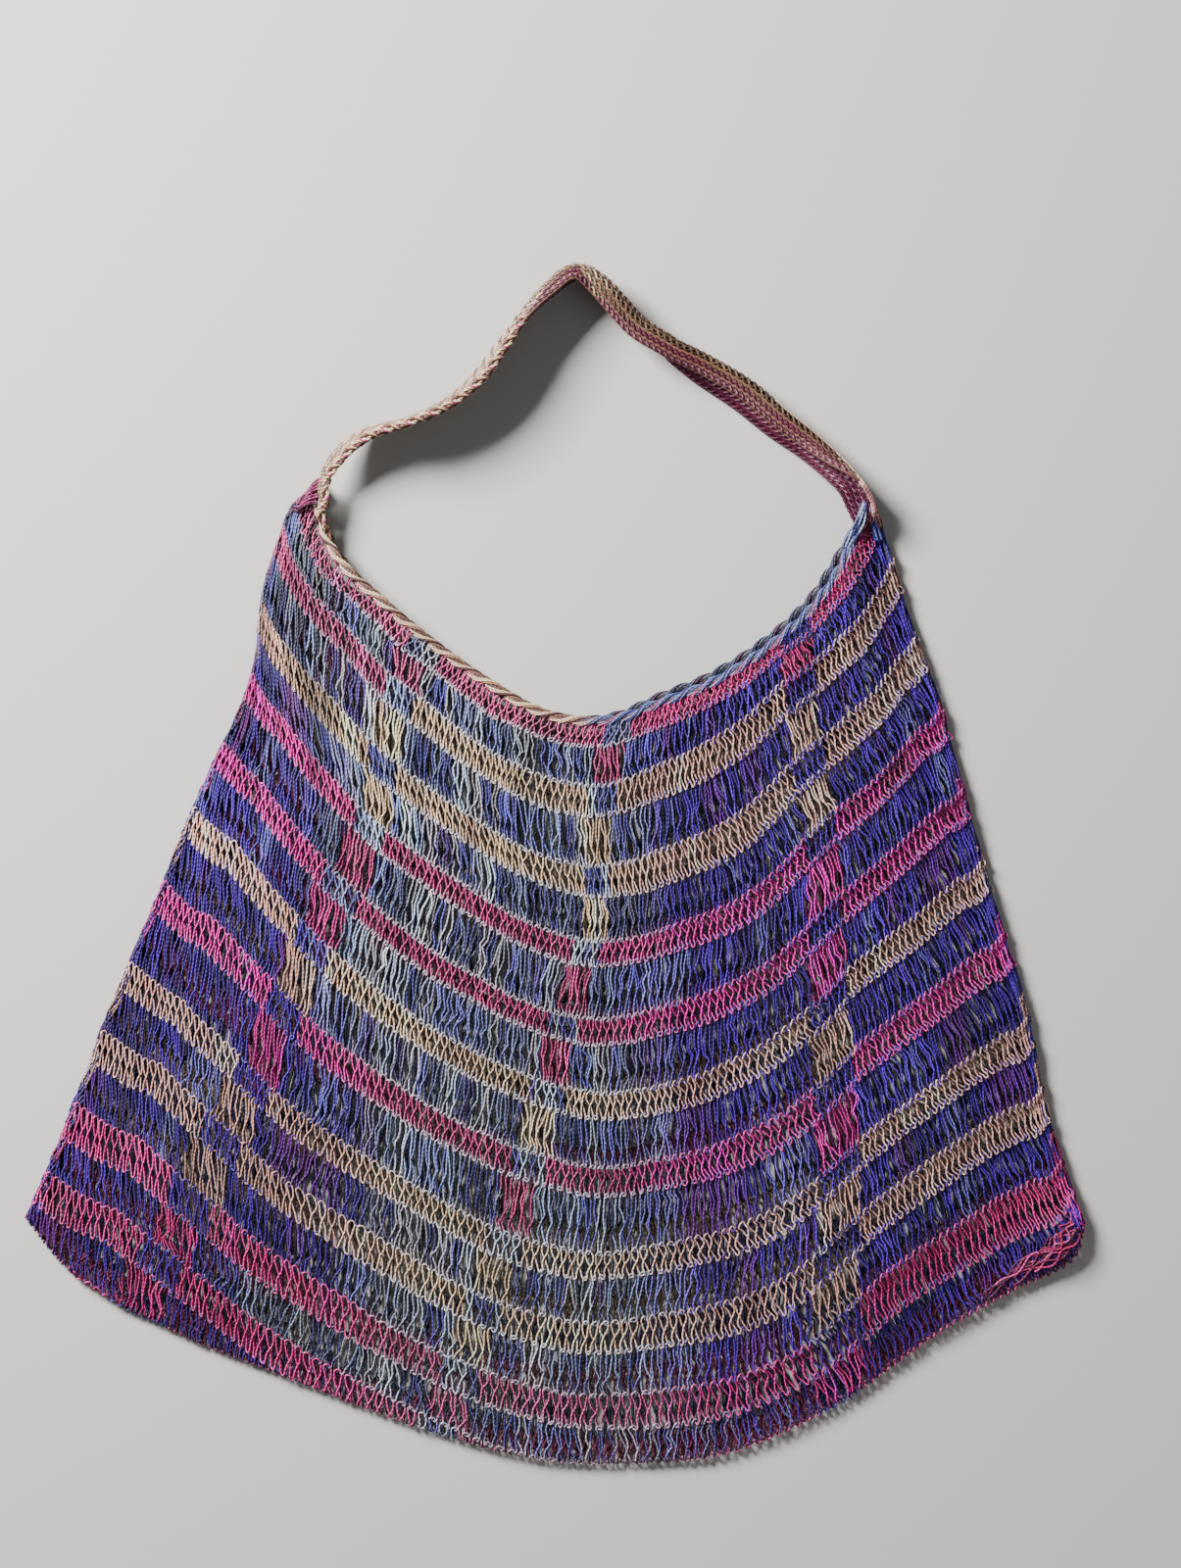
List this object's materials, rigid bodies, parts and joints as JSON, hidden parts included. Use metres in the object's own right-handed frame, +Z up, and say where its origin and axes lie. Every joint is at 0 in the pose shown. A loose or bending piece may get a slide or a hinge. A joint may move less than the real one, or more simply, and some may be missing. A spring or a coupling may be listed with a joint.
{
  "type": "looped string bag",
  "caption": "Looped string bag lying flat and empty: an open-mouthed pouch of striped netted yarn with a twisted mouth cord and a broad looped shoulder strap for carrying goods.",
  "frame": {"origin": "middle of the lying bag's outline, on the surface it lies on", "axes": "+X to the bag's right, +Y from the bottom fold towards the top of the strap, +Z up from the surface"},
  "size_m": [0.5495, 0.6229, 0.0297],
  "materials": {
    "net_yarn": "matt two-ply yarn in violet blue, with rows of pink, magenta and beige",
    "cord_yarn": "matt twisted yarn, beige on one half and pale blue on the other",
    "strap_yarn": "matt looped band, beige outside and deep raspberry inside"
  },
  "bodies": {
    "root": {"net_body": "net_yarn", "mouth_cord": "cord_yarn", "shoulder_strap": "strap_yarn"}
  },
  "joints": []
}
